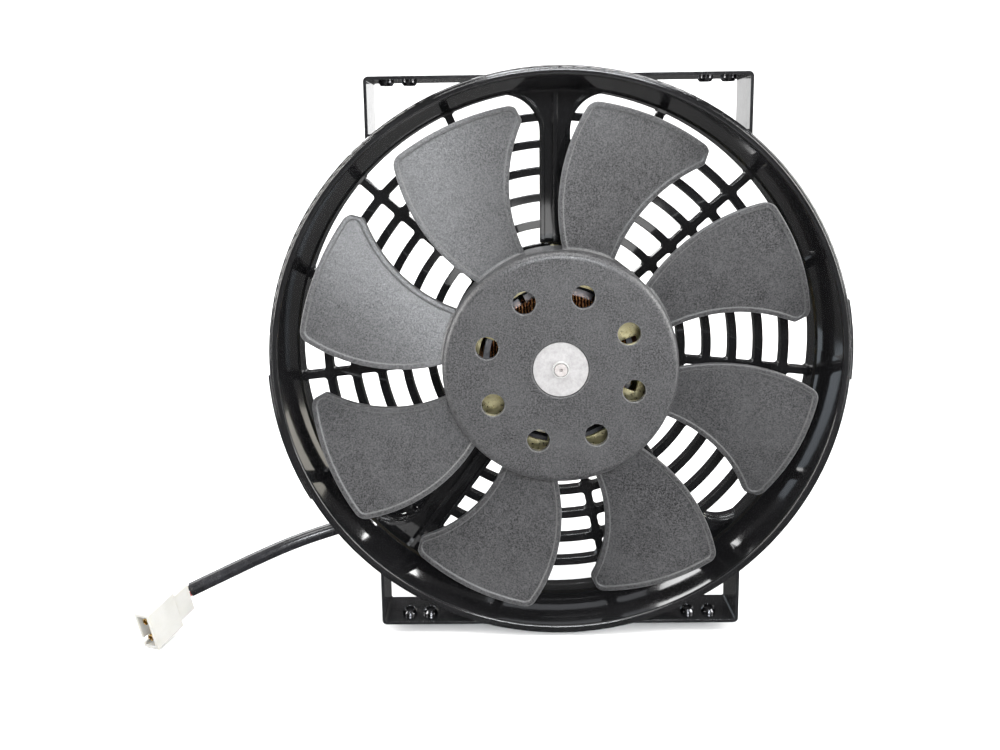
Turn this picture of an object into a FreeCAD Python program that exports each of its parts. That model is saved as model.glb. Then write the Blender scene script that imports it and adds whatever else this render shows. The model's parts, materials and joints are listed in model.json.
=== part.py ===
"""Electric axial fan of a hydraulic oil cooler: ring with guard, motor, impeller and two brackets.

Every piece is drawn in the fan's own frame, in millimetres: X to the right, Y up and Z forward
along the fan axis, from the rear plane of the ring. A Placement then turns each piece so that
the fan axis lies along -Y of the part's frame and +Z is up.
"""
import FreeCAD, Part
import math
import os
from types import SimpleNamespace

import Sketcher

Vector = FreeCAD.Vector

# Driving dimensions: alias, value in millimetres (or degrees, or a count), meaning.
DIMENSIONS = [
    ("opening_radius", 128.5, "inside of the guard's rim"),
    ("barrel_bore_radius", 129.5, "inside of the ring's barrel at the rear"),
    ("barrel_radius", 131.2, "outside of the ring's barrel at the rear"),
    ("mouth_radius", 132.7, "inside of the barrel's mouth, beside the bead"),
    ("mouth_wall", 1.7, "wall of the barrel at its mouth"),
    ("lip_radius", 137.3, "outside of the ring's front lip"),
    ("lip_face_radius", 135.6, "inner edge of the lip's flat face"),
    ("bead_radius", 133.2, "inner edge of the bead beside the lip's face"),
    ("lip_back", 33.0, "rear face of the lip"),
    ("lip_front", 35.0, "front face of the lip"),
    ("bead_front", 35.9, "front of the bead"),
    ("rim_height", 11.0, "height of the thicker rim round the guard"),
    ("pad_radius", 138.1, "outside of the two local pads on the lip"),
    ("plate_radius", 54.0, "solid plate in the middle of the guard"),
    ("guard_back", 0.5, "rear face of the guard"),
    ("guard_front", 5.0, "front face of the guard"),
    ("first_rib_radius", 63.6, "centre line of the innermost ring rib"),
    ("rib_pitch", 13.07, "spacing of the ring ribs"),
    ("rib_width", 4.0, "width of every rib"),
    ("rib_count", 5, "number of ring ribs"),
    ("bar_count", 15, "radial bars, the strut positions included"),
    ("cell_corner", 1.8, "corner radius of the guard's openings"),
    ("strut_half_width", 7.5, "half width of a strut"),
    ("flare_start", 108.5, "distance from the axis where a strut starts to flare"),
    ("flare_radius", 18.0, "radius of a strut's flare"),
    ("rail_width", 1.8, "width of a strut's edge rails"),
    ("web_front", 6.2, "front of the web between a strut's rails"),
    ("rail_front", 8.6, "front of the edge rails"),
    ("ridge_width", 2.2, "width of a strut's middle ridge"),
    ("ridge_front", 10.4, "front of the middle ridge"),
    ("strip", 1.5, "thickness of the bracket strip"),
    ("bracket_half_width", 88.2, "half width of a bracket over its legs"),
    ("bracket_reach", 133.5, "distance from the axis to a bracket's outer face"),
    ("bracket_leg_end", 98.6, "distance from the axis to the end of a leg"),
    ("bracket_back", 10.0, "rear edge of the bracket strip"),
    ("bracket_front", 32.5, "front edge of the bracket strip"),
    ("bracket_bend", 2.4, "outer radius of the bracket's corners"),
    ("top_insert_x", 73.4, "middle of the upper bracket's insert pairs"),
    ("bottom_insert_x", 70.1, "middle of the lower bracket's insert pairs"),
    ("insert_pitch", 10.6, "spacing of the two inserts in a pair"),
    ("insert_bore", 2.1, "bore radius of an M5 clinch nut"),
    ("insert_radius", 3.6, "outside radius of a clinch nut"),
    ("insert_height", 2.3, "height of a clinch nut above the strip"),
    ("insert_crown", 1.2, "height of a clinch nut's tapered crown"),
    ("insert_tip", 2.7, "radius of the crown's small end"),
    ("insert_shank", 2.9, "radius of the shank pressed into the strip"),
    ("leg_screw_y", 104.0, "distance from the axis to the leg screws"),
    ("leg_screw_z", 15.5, "depth of the leg screws"),
    ("leg_screw_radius", 2.0, "shank radius of the leg screws"),
    ("leg_screw_grip", 7.5, "length of a leg screw under its head"),
    ("hub_radius", 54.6, "outside of the impeller's hub"),
    ("hub_wall", 2.4, "wall of the hub"),
    ("hub_back", 23.0, "rear edge of the hub"),
    ("hub_front", 46.3, "front face of the hub"),
    ("hub_face", 2.8, "thickness of the hub's front wall"),
    ("vent_circle", 35.2, "radius of the circle of vent holes"),
    ("vent_radius", 5.3, "radius of a vent hole"),
    ("blade_count", 8, "blades and vent holes"),
    ("tip_radius", 122.0, "radius at the blade tips"),
    ("blade_thickness", 2.8, "thickness of a blade at its raised border"),
    ("blade_recess", 0.6, "depth of the field inside the border"),
    ("blade_border", 2.3, "width of the raised border"),
    ("blade_middle", 33.0, "depth of the blade's middle line"),
    ("shaft_end", 47.6, "front end of the motor shaft"),
    ("insert_disc_radius", 12.7, "metal disc seen in the hub's face"),
    ("disc_gap", 0.45, "width of the groove round the metal disc"),
    ("insert_z", 24.5, "depth of the clinch nuts"),
    ("leg_screw_head", 3.6, "head radius of the leg screws"),
    ("bearing_back", 5.5, "rear face of the rear bearing"),
    ("rear_bearing_radius", 7.0, "outside of the rear bearing"),
    ("front_bearing_radius", 7.5, "outside of the front bearing"),
    ("insert_back", 39.8, "shoulder of the shaft that carries the hub insert"),
    ("commutator_radius", 9.5, "outside of the commutator"),
    ("brush_width", 5.0, "width of a brush"),
    ("lead_circle", 34.0, "distance of the lead hole from the axis"),
    ("lead_hole_radius", 4.5, "radius of the lead hole"),
    ("can_radius", 43.0, "outside of the motor's can"),
    ("can_wall", 2.0, "wall of the motor's can"),
    ("can_back", 11.0, "rear edge of the can"),
    ("can_front", 37.0, "front face of the can"),
    ("cap_front", 7.5, "inner face of the motor's rear cap"),
    ("ear_circle", 47.5, "radius of the circle of motor screws"),
    ("shaft_radius", 4.0, "motor shaft inside the motor"),
    ("nose_radius", 2.9, "motor shaft where it carries the impeller"),
    ("running_gap", 0.05, "radial clearance of the shaft in its bearings"),
    ("cable_radius", 3.5, "outside radius of the two-core cable"),
    ("core_radius", 1.2, "outside radius of one core"),
    ("connector_rear_length", 10.5, "length of the connector's narrow rear section"),
    ("connector_rear_wide", 14.4, "width of the rear section"),
    ("connector_rear_thick", 8.0, "thickness of the rear section"),
    ("connector_front_length", 15.3, "length of the connector's mouth section"),
    ("connector_front_wide", 19.2, "width of the mouth section"),
    ("connector_front_thick", 9.4, "thickness of the mouth section"),
    ("connector_wall", 1.4, "wall of the mouth section"),
]

STRUT_ANGLES = (90.0, 234.0, 306.0)
MOTOR_SCREW_ANGLES = (90.0, 210.0, 330.0)
BLADE_START_ANGLE = 22.5
VENT_START_ANGLE = 27.8
CABLE_STRUT_ANGLE = 234.0
CABLE_DEPTH = -3.6

# Route of the cable: guided behind the guard to the clip, then free to the connector.
CLIP_EXIT = (-95.6, -93.3, CABLE_DEPTH)
GUIDED_ROUTE = [
    (-24.5, -33.7, CABLE_DEPTH),
    (-45.0, -62.5, CABLE_DEPTH),
    (-74.0, -85.6, CABLE_DEPTH),
    CLIP_EXIT,
]
FREE_ROUTE = [
    CLIP_EXIT,
    (-113.5, -98.3, -2.6),
    (-136.5, -103.0, 4.2),
    (-155.5, -109.6, 9.0),
    (-172.6, -116.3, 13.2),
    (-188.9, -122.4, 18.2),
]

# The connector's rear middle, the way its mouth points and the way of its width.
CONNECTOR_BACK = Vector(-190.6, -123.4, 22.0)
CONNECTOR_AXIS = Vector(-0.379, -0.187, 0.906)
CONNECTOR_WIDE = Vector(0.150, -0.979, -0.139)
CLIP_LENGTH = 8.0

# Gap between the end of a bracket's leg and the ring's barrel.
LEG_CLEARANCE = 0.4

FAN_FRAME = FreeCAD.Placement(Vector(0, 0, 0), FreeCAD.Rotation(Vector(1, 0, 0), 90))

doc = FreeCAD.newDocument("cooler_fan")
sheet = doc.addObject("Spreadsheet::Sheet", "sheet")
for row, (alias, value, meaning) in enumerate(DIMENSIONS, start=1):
    sheet.set(f"A{row}", meaning)
    sheet.set(f"B{row}", str(value))
    sheet.setAlias(f"B{row}", alias)
doc.recompute()


class Quantity:
    """A driving dimension, or a sum or product of them, as a number and as a formula."""

    def __init__(self, value, text):
        self.value = value
        self.text = text

    def __add__(self, other):
        other = quantity(other)
        return Quantity(self.value + other.value, f"({self.text} + {other.text})")

    def __sub__(self, other):
        other = quantity(other)
        return Quantity(self.value - other.value, f"({self.text} - {other.text})")

    def __mul__(self, factor):
        return Quantity(self.value * factor, f"({self.text} * ({factor:.9f}))")

    def __neg__(self):
        return self * -1.0


def quantity(item):
    """A plain number as a quantity; a quantity as it is."""
    if isinstance(item, Quantity):
        return item
    return Quantity(float(item), f"({float(item):.9f})")


dim = SimpleNamespace(
    **{alias: Quantity(float(sheet.get(alias)), f"sheet.{alias}") for alias, _, _ in DIMENSIONS}
)
nodes = []


def bind(target, **properties):
    """Bind properties of an object to quantities."""
    for name, item in properties.items():
        target.setExpression(name, quantity(item).text)
    return target


def move(piece, x=0, y=0, z=0):
    """Bind an object's position to quantities."""
    for axis, item in (("x", x), ("y", y), ("z", z)):
        piece.setExpression(f"Placement.Base.{axis}", quantity(item).text)
    return piece


def turned(point, angle):
    """A point turned about the fan axis, in degrees."""
    return FreeCAD.Rotation(Vector(0, 0, 1), angle).multVec(point)


def polar(radius, angle, depth=0.0):
    """A point given by its radius and its angle about the fan axis."""
    return turned(Vector(radius, 0, depth), angle)


def across(radius, angle):
    """X and Y quantities of a place given by radius and angle."""
    radius = quantity(radius)
    turn = math.radians(angle)
    return radius * math.cos(turn), radius * math.sin(turn)


def cylinder(name, radius, bottom, top, place=(0, 0)):
    """A cylinder along the fan axis between two depths."""
    piece = doc.addObject("Part::Cylinder", name)
    bind(piece, Radius=radius, Height=quantity(top) - bottom)
    return move(piece, *place, bottom)


def sideways_cylinder(name, radius, start, end, y, z):
    """A cylinder along X."""
    piece = doc.addObject("Part::Cylinder", name)
    piece.Placement.Rotation = FreeCAD.Rotation(Vector(0, 1, 0), 90)
    bind(piece, Radius=radius, Height=quantity(end) - start)
    return move(piece, start, y, z)


def upright_cylinder(name, radius, start, end, x, z):
    """A cylinder along Y."""
    piece = doc.addObject("Part::Cylinder", name)
    piece.Placement.Rotation = FreeCAD.Rotation(Vector(1, 0, 0), -90)
    bind(piece, Radius=radius, Height=quantity(end) - start)
    return move(piece, x, start, z)


def upright_cone(name, low_radius, high_radius, start, end, x, z):
    """A cone along Y, with one radius at its start and another at its end."""
    piece = doc.addObject("Part::Cone", name)
    piece.Placement.Rotation = FreeCAD.Rotation(Vector(1, 0, 0), -90)
    bind(piece, Radius1=low_radius, Radius2=high_radius, Height=quantity(end) - start)
    return move(piece, x, start, z)


def cone(name, low_radius, high_radius, bottom, top):
    """A cone on the fan axis between two depths."""
    piece = doc.addObject("Part::Cone", name)
    bind(piece, Radius1=low_radius, Radius2=high_radius, Height=quantity(top) - bottom)
    return move(piece, 0, 0, bottom)


def hexagon(name, radius, bottom, top, place):
    """A hexagonal prism along the fan axis."""
    piece = doc.addObject("Part::Prism", name)
    piece.Polygon = 6
    bind(piece, Circumradius=radius, Height=quantity(top) - bottom)
    return move(piece, *place, bottom)


def cut(name, base, tool):
    """One solid less another."""
    piece = doc.addObject("Part::Cut", name)
    piece.Base = base
    piece.Tool = tool
    return piece


def fuse(name, pieces):
    """Several solids made into one."""
    piece = doc.addObject("Part::MultiFuse", name)
    piece.Shapes = pieces
    return piece


def group(name, pieces):
    """Several separate solids in one object."""
    piece = doc.addObject("Part::Compound", name)
    piece.Links = pieces
    return piece


def feature(name, shape):
    """A piece whose shape is made by Part's own functions."""
    piece = doc.addObject("Part::Feature", name)
    piece.Shape = shape
    return piece


def tube(name, outer, inner, bottom, top, place=(0, 0)):
    """A tube along the fan axis between two depths."""
    shell = cylinder(f"{name}_outside", outer, bottom, top, place)
    bore = cylinder(f"{name}_bore", inner, quantity(bottom) - 1, quantity(top) + 1, place)
    return cut(name, shell, bore)


def keep(target, label):
    """Name a finished piece and set it in the part's frame."""
    target.Label = label
    target.Placement = FAN_FRAME.multiply(target.Placement)
    nodes.append(target)
    return target


def new_sketch(owner, name, role, offset=None):
    """A sketch on one of its body's origin planes, moved along the plane's normal if asked."""
    sketch = owner.newObject("Sketcher::SketchObject", name)
    plane = next(item for item in owner.Origin.OriginFeatures if item.Role == role)
    sketch.AttachmentSupport = [(plane, "")]
    sketch.MapMode = "FlatFace"
    if offset is not None:
        sketch.setExpression("AttachmentOffset.Base.z", quantity(offset).text)
    return sketch


def hold(sketch, kind, index, vertex, item):
    """Hold a distance or a radius of a sketch by a quantity."""
    item = quantity(item)
    if kind == "Radius":
        held = sketch.addConstraint(Sketcher.Constraint(kind, index, item.value))
    else:
        held = sketch.addConstraint(Sketcher.Constraint(kind, -1, 1, index, vertex, item.value))
    sketch.setExpression(f"Constraints[{held}]", item.text)


def draw_polygon(sketch, corners):
    """Close a polygon whose corners are pairs of quantities, each held by the sheet."""
    corners = [(quantity(x), quantity(y)) for x, y in corners]
    first = sketch.GeometryCount
    count = len(corners)
    for index, (x, y) in enumerate(corners):
        next_x, next_y = corners[(index + 1) % count]
        line = Part.LineSegment(Vector(x.value, y.value, 0), Vector(next_x.value, next_y.value, 0))
        sketch.addGeometry(line, False)
    for index in range(count):
        following = first + (index + 1) % count
        sketch.addConstraint(Sketcher.Constraint("Coincident", first + index, 2, following, 1))
    for index, (x, y) in enumerate(corners):
        hold(sketch, "DistanceX", first + index, 1, x)
        hold(sketch, "DistanceY", first + index, 1, y)


def draw_circle(sketch, radius, place=(0, 0)):
    """A circle whose radius and centre are held by the sheet."""
    x, y = quantity(place[0]), quantity(place[1])
    centre = Vector(x.value, y.value, 0)
    circle = Part.Circle(centre, Vector(0, 0, 1), quantity(radius).value)
    index = sketch.addGeometry(circle, False)
    hold(sketch, "Radius", index, 0, radius)
    hold(sketch, "DistanceX", index, 3, x)
    hold(sketch, "DistanceY", index, 3, y)


def revolve(owner, name, corners):
    """Turn a polygon of (radius, depth) corners about the fan axis."""
    sketch = new_sketch(owner, f"{name}_profile", "XZ_Plane")
    draw_polygon(sketch, corners)
    turn = owner.newObject("PartDesign::Revolution", name)
    turn.Profile = sketch
    turn.ReferenceAxis = (sketch, ["V_Axis"])
    turn.Angle = 360
    doc.recompute()
    return turn


def extrude(owner, kind, name, sketch, length):
    """Pad or pocket a sketch by a bound length, and check that it changed the body."""
    before = owner.Shape.Volume if not owner.Shape.isNull() else 0.0
    result = owner.newObject(f"PartDesign::{kind}", name)
    result.Profile = sketch
    bind(result, Length=length)
    doc.recompute()
    if abs(result.Shape.Volume - before) < 1.0:
        raise ValueError(f"{name} changes nothing")
    return result


def repeat(owner, name, originals, count):
    """Repeat features evenly about the fan axis."""
    pattern = owner.newObject("PartDesign::PolarPattern", name)
    pattern.Originals = originals
    axis = next(item for item in owner.Origin.OriginFeatures if item.Role == "Z_Axis")
    pattern.Axis = (axis, [""])
    pattern.Angle = 360
    bind(pattern, Occurrences=count)
    owner.Tip = pattern
    doc.recompute()
    return pattern


def round_circles(owner, name, base, circles, radius):
    """Round the circular edges given as (radius, depth) pairs."""
    edges = []
    for index, edge in enumerate(base.Shape.Edges, start=1):
        if not isinstance(edge.Curve, Part.Circle):
            continue
        for reach, depth in circles:
            same_radius = abs(edge.Curve.Radius - quantity(reach).value) < 0.01
            if same_radius and abs(edge.Curve.Center.z - quantity(depth).value) < 0.01:
                edges.append(f"Edge{index}")
    return round_edges(owner, name, base, edges, radius)


def round_edges(owner, name, base, edges, radius):
    """Round named edges of a feature."""
    rounding = owner.newObject("PartDesign::Fillet", name)
    rounding.Base = (base, edges)
    bind(rounding, Radius=radius)
    doc.recompute()
    return rounding


def lines(points):
    """Closed outline of straight lines."""
    return [Part.LineSegment(a, b) for a, b in zip(points, points[1:] + points[:1])]


def arc_between(centre, start, end):
    """The shorter arc about a centre from one point to another."""
    radius = (start - centre).Length
    middle = centre + ((start + end) * 0.5 - centre).normalize() * radius
    return Part.Arc(start, middle, end)


def sector(inner, outer, start, end):
    """Outline of an annular sector between two angles."""
    corners = [polar(inner, start), polar(outer, start), polar(outer, end), polar(inner, end)]
    centre = Vector(0, 0, 0)
    return [
        Part.LineSegment(corners[0], corners[1]),
        arc_between(centre, corners[1], corners[2]),
        Part.LineSegment(corners[2], corners[3]),
        arc_between(centre, corners[3], corners[0]),
    ]


def solid_from(outline, bottom, top):
    """A closed outline raised between two depths."""
    wire = Part.Wire([curve.toShape() for curve in outline])
    face = Part.Face(wire)
    face.translate(Vector(0, 0, bottom))
    return face.extrude(Vector(0, 0, top - bottom))


# ---------------------------------------------------------------------------------------------
# Ring and guard
# ---------------------------------------------------------------------------------------------

CLIP_RUN = Vector(*CLIP_EXIT) - Vector(*GUIDED_ROUTE[-2])
CLIP_WAY = CLIP_RUN * (1.0 / CLIP_RUN.Length)
CLIP_SIDE = Vector(-CLIP_WAY.y, CLIP_WAY.x, 0)
CLIP_MIDDLE = Vector(*CLIP_EXIT) - CLIP_WAY * (CLIP_LENGTH / 2)
CLIP_STEM = CLIP_MIDDLE + CLIP_SIDE * 6.6
CLIP_ANGLE = math.degrees(math.atan2(CLIP_STEM.y, CLIP_STEM.x))


def make_ring():
    """Barrel that widens to a beaded front lip, with bracket lugs, lip pads and a cable lug."""
    ring = doc.addObject("PartDesign::Body", "ring_body")
    taper_start = dim.rim_height + 1.5
    turn = revolve(
        ring,
        "ring_turn",
        [
            (dim.barrel_bore_radius, 0),
            (dim.barrel_radius, 0),
            (dim.barrel_radius, taper_start),
            (dim.mouth_radius + dim.mouth_wall, dim.lip_back),
            (dim.lip_radius, dim.lip_back),
            (dim.lip_radius, dim.lip_front),
            (dim.lip_face_radius, dim.lip_front),
            (dim.lip_face_radius, dim.bead_front),
            (dim.bead_radius, dim.bead_front),
            (dim.mouth_radius, dim.bead_front - 0.9),
            (dim.barrel_bore_radius, taper_start),
            (dim.opening_radius, dim.rim_height),
            (dim.opening_radius, dim.guard_front),
            (dim.barrel_bore_radius, dim.guard_front),
        ],
    )
    edge = round_circles(ring, "lip_round", turn, [(dim.lip_radius, dim.lip_front)], 1.2)
    crest = [(dim.lip_face_radius, dim.bead_front), (dim.bead_radius, dim.bead_front)]
    ring.Tip = round_circles(ring, "crest_round", edge, crest, 0.5)

    lug_back = dim.leg_screw_z - 5.5
    lugs = new_sketch(ring, "lug_outline", "XY_Plane", lug_back)
    leg = dim.bracket_half_width - dim.strip
    for side in (1, -1):
        for half in (1, -1):
            corners = [(leg - 12.5, 108), (leg, 108), (leg, 98), (leg - 3.2, 100.9)]
            draw_polygon(lugs, [(x * side, half * y) for x, y in corners])
    extrude(ring, "Pad", "lugs", lugs, 11)

    root = dim.mouth_radius.value + 0.5
    pads = new_sketch(ring, "pad_outline", "XY_Plane", dim.lip_back - 4)
    for start, end in ((182.0, 209.0), (-4.0, 12.0)):
        pads.addGeometry(sector(root, dim.pad_radius.value, start, end), False)
    extrude(ring, "Pad", "lip_pads", pads, dim.lip_front - dim.lip_back + 3)

    cable_lug = new_sketch(ring, "cable_lug_outline", "XY_Plane")
    root = dim.barrel_radius.value - 0.5
    lug_top = dim.barrel_radius.value + 7
    cable_lug.addGeometry(sector(root, lug_top, CLIP_ANGLE - 2.3, CLIP_ANGLE + 2.3), False)
    extrude(ring, "Pad", "cable_lug", cable_lug, 6)

    stem = cylinder("stem_hole", 2.0, -1, 7, (CLIP_STEM.x, CLIP_STEM.y))
    drills = [stem]
    for side in (1, -1):
        for half in (1, -1):
            reach = dim.bracket_half_width * side
            start, end = (reach - 8, reach + 1) if side > 0 else (reach - 1, reach + 8)
            name = f"lug_drill_{side}_{half}"
            place = (dim.leg_screw_y * half, dim.leg_screw_z)
            drills.append(sideways_cylinder(name, dim.leg_screw_radius, start, end, *place))
    return cut("shroud_ring", ring, fuse("ring_drills", drills))


def guard_cell(inner, outer):
    """Outline of one opening between two ring ribs and two radial bars, with round corners."""
    corner = dim.cell_corner.value
    half_bar = dim.rib_width.value / 2
    half_step = 180.0 / dim.bar_count.value
    centre = Vector(0, 0, 0)
    height = half_bar + corner
    outer_centre = Vector(math.sqrt((outer - corner) ** 2 - height**2), height, 0)
    inner_centre = Vector(math.sqrt((inner + corner) ** 2 - height**2), height, 0)
    line_start = Vector(inner_centre.x, half_bar, 0)
    line_end = Vector(outer_centre.x, half_bar, 0)
    rim_start = outer_centre * (outer / (outer - corner))
    root_end = inner_centre * (inner / (inner + corner))

    def other(point):
        straight = turned(point, -half_step)
        return turned(Vector(straight.x, -straight.y, 0), half_step)

    return [
        Part.LineSegment(line_start, line_end),
        arc_between(outer_centre, line_end, rim_start),
        arc_between(centre, rim_start, other(rim_start)),
        arc_between(other(outer_centre), other(rim_start), other(line_end)),
        Part.LineSegment(other(line_end), other(line_start)),
        arc_between(other(inner_centre), other(line_start), other(root_end)),
        arc_between(centre, other(root_end), root_end),
        arc_between(inner_centre, root_end, line_start),
    ]


def flare_points(edge, reach):
    """Start, middle and end of the arc by which a strut's edge flares out to a circle."""
    centre_x = dim.strut_half_width.value + dim.flare_radius.value
    centre_y = dim.flare_start.value
    bend = centre_x - edge
    low, high = 0.0, math.pi / 2
    for _ in range(40):
        turn = (low + high) / 2
        if math.hypot(centre_x - bend * math.cos(turn), centre_y + bend * math.sin(turn)) < reach:
            low = turn
        else:
            high = turn
    points = []
    for share in (0.0, 0.5, 1.0):
        turn = low * share
        points.append(Vector(centre_x - bend * math.cos(turn), centre_y + bend * math.sin(turn), 0))
    return points


def strut_place(point, angle, side):
    """A point of the upright strut, mirrored if asked and turned to a strut's angle."""
    return turned(Vector(side * point.x, point.y, 0), angle - 90)


def strut_outline(angle, reach):
    """Outline of a strut that flares to both sides where it meets the ring."""
    half = dim.strut_half_width.value
    root = Vector(half, dim.plate_radius.value, 0)
    flare = flare_points(half, reach)
    east = [strut_place(point, angle, 1) for point in [root] + flare]
    west = [strut_place(point, angle, -1) for point in [root] + flare]
    return [
        Part.LineSegment(east[0], east[1]),
        Part.Arc(east[1], east[2], east[3]),
        arc_between(Vector(0, 0, 0), east[3], west[3]),
        Part.Arc(west[3], west[2], west[1]),
        Part.LineSegment(west[1], west[0]),
        Part.LineSegment(west[0], east[0]),
    ]


def rail_outline(angle, side, reach):
    """Outline of one edge rail, straight and then curving with the flare."""
    outer = dim.strut_half_width.value - 0.4
    inner = outer - dim.rail_width.value
    root = dim.plate_radius.value
    outside = [strut_place(point, angle, side) for point in flare_points(outer, reach)]
    inside = [strut_place(point, angle, side) for point in flare_points(inner, reach)]
    outer_root = strut_place(Vector(outer, root, 0), angle, side)
    inner_root = strut_place(Vector(inner, root, 0), angle, side)
    return [
        Part.LineSegment(outer_root, outside[0]),
        Part.Arc(*outside),
        arc_between(Vector(0, 0, 0), outside[2], inside[2]),
        Part.Arc(*reversed(inside)),
        Part.LineSegment(inside[0], inner_root),
        Part.LineSegment(inner_root, outer_root),
    ]


def ridge_outline(angle, reach):
    """Outline of a strut's middle ridge."""
    half = dim.ridge_width.value / 2
    root = dim.plate_radius.value
    corners = [(-half, root), (half, root), (half, reach), (-half, reach)]
    return lines([turned(Vector(*corner, 0), angle - 90) for corner in corners])


def make_guard():
    """Flat guard of ring ribs and radial bars, with three raised struts and a middle plate."""
    guard = doc.addObject("PartDesign::Body", "guard_body")
    turn = revolve(
        guard,
        "guard_turn",
        [
            (0, dim.guard_back),
            (dim.barrel_bore_radius, dim.guard_back),
            (dim.barrel_bore_radius, dim.guard_front),
            (0, dim.guard_front),
        ],
    )
    guard.Tip = turn

    cells = new_sketch(guard, "cell_outline", "XY_Plane", dim.guard_front)
    edges = [dim.plate_radius.value]
    for index in range(int(dim.rib_count.value)):
        middle = dim.first_rib_radius.value + index * dim.rib_pitch.value
        edges.append(middle - dim.rib_width.value / 2)
        edges.append(middle + dim.rib_width.value / 2)
    edges.append(dim.opening_radius.value)
    for inner, outer in zip(edges[0::2], edges[1::2]):
        outline = guard_cell(inner, outer)
        for curve in outline:
            curve.rotate(FreeCAD.Placement(Vector(0, 0, 0), FreeCAD.Rotation(Vector(0, 0, 1), 90)))
        cells.addGeometry(outline, False)
    web = dim.guard_front - dim.guard_back
    pocket = extrude(guard, "Pocket", "cells", cells, web + 1)
    repeat(guard, "cell_pattern", [pocket], dim.bar_count)

    webs = new_sketch(guard, "strut_webs_outline", "XY_Plane", dim.guard_back)
    for angle in STRUT_ANGLES:
        webs.addGeometry(strut_outline(angle, dim.barrel_bore_radius.value - 0.3), False)
    extrude(guard, "Pad", "strut_webs", webs, web)

    holes = new_sketch(guard, "plate_holes", "XY_Plane", dim.guard_front)
    for angle in MOTOR_SCREW_ANGLES:
        draw_circle(holes, 2.6, across(dim.ear_circle, angle))
    draw_circle(holes, dim.lead_hole_radius, across(dim.lead_circle, CABLE_STRUT_ANGLE))
    extrude(guard, "Pocket", "plate_bores", holes, web + 1)
    return guard


def make_strut_ribs():
    """Raised part of the three struts: a low web, two edge rails and a middle ridge on each."""
    reach = dim.opening_radius.value
    struts = []
    for angle in STRUT_ANGLES:
        name = f"strut_{angle:.0f}"
        body = doc.addObject("PartDesign::Body", name)
        outlines = {
            "web": ([strut_outline(angle, reach)], dim.web_front),
            "rails": ([rail_outline(angle, side, reach) for side in (1, -1)], dim.rail_front),
            "ridge": ([ridge_outline(angle, reach)], dim.ridge_front),
        }
        for role, (shapes, front) in outlines.items():
            sketch = new_sketch(body, f"{name}_{role}_outline", "XY_Plane", dim.guard_front)
            for shape in shapes:
                sketch.addGeometry(shape, False)
            extrude(body, "Pad", f"{name}_{role}", sketch, front - dim.guard_front)
        struts.append(body)
    return group("strut_ribs", struts)


keep(make_ring(), "shroud_ring")
keep(make_guard(), "guard_grille")
keep(make_strut_ribs(), "strut_ribs")


# ---------------------------------------------------------------------------------------------
# Motor
# ---------------------------------------------------------------------------------------------


def make_rear_cap():
    """Cup that closes the motor behind, with three ears, a bearing boss and a lead hole."""
    bodies = [
        cylinder("cap_plate", dim.can_radius, dim.guard_front, dim.cap_front),
        tube("cap_rim", dim.can_radius, dim.can_radius - dim.can_wall, dim.cap_front, dim.can_back),
        cylinder("cap_boss", 10, dim.guard_front, dim.bearing_back + 5.7),
    ]
    holes = [
        cylinder("cap_seat", dim.rear_bearing_radius, dim.bearing_back, dim.bearing_back + 7),
        cylinder(
            "cap_lead_hole",
            dim.lead_hole_radius,
            dim.guard_front - 1,
            dim.cap_front + 1,
            across(dim.lead_circle, CABLE_STRUT_ANGLE),
        ),
    ]
    for angle in MOTOR_SCREW_ANGLES:
        place = across(dim.ear_circle, angle)
        bodies.append(cylinder(f"ear_{angle:.0f}", 5.5, dim.guard_front, dim.cap_front, place))
        ear_hole = f"ear_hole_{angle:.0f}"
        holes.append(cylinder(ear_hole, 2.6, dim.guard_front - 1, dim.cap_front + 1, place))
    return cut("motor_rear_cap", fuse("cap_solid", bodies), fuse("cap_holes", holes))


def make_can():
    """Can with a windowed front wall and a bearing boss."""
    bearing_front = dim.can_front + 2
    shell = [
        tube("can_wall", dim.can_radius, dim.can_radius - dim.can_wall, dim.can_back, dim.can_front),
        cylinder("can_face", dim.can_radius - 1, dim.can_front - dim.can_wall, dim.can_front),
        cylinder("can_boss", 9, dim.can_front - 4, bearing_front + 0.5),
    ]
    holes = [
        cylinder("can_seat", dim.front_bearing_radius, dim.can_front - 5, bearing_front),
        cylinder("can_shaft_hole", dim.shaft_radius + 0.6, dim.can_front, bearing_front + 2),
    ]
    for index in range(6):
        outline = sector(27.0, 38.0, 60 * index - 21, 60 * index + 21)
        window = solid_from(outline, dim.can_front.value - 4, dim.can_front.value + 1)
        holes.append(feature(f"can_window_{index}", window))
    return cut("motor_can", fuse("can_shell", shell), fuse("can_holes", holes))


def make_magnets():
    """Two arc magnets glued inside the can."""
    magnets = []
    outer = dim.can_radius.value - dim.can_wall.value
    for middle in (90.0, 270.0):
        outline = sector(outer - 4, outer, middle - 60, middle + 60)
        magnets.append(feature(f"magnet_{middle:.0f}", solid_from(outline, 15.0, 33.0)))
    return group("field_magnets", magnets)


def box(name, length, width, height, corner, turn=0.0):
    """A box with its corner given before it turns about the fan axis."""
    piece = doc.addObject("Part::Box", name)
    bind(piece, Length=length, Width=width, Height=height)
    place = FreeCAD.Placement(turned(Vector(*corner), turn), FreeCAD.Rotation(Vector(0, 0, 1), turn))
    piece.Placement = place
    return piece


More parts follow.
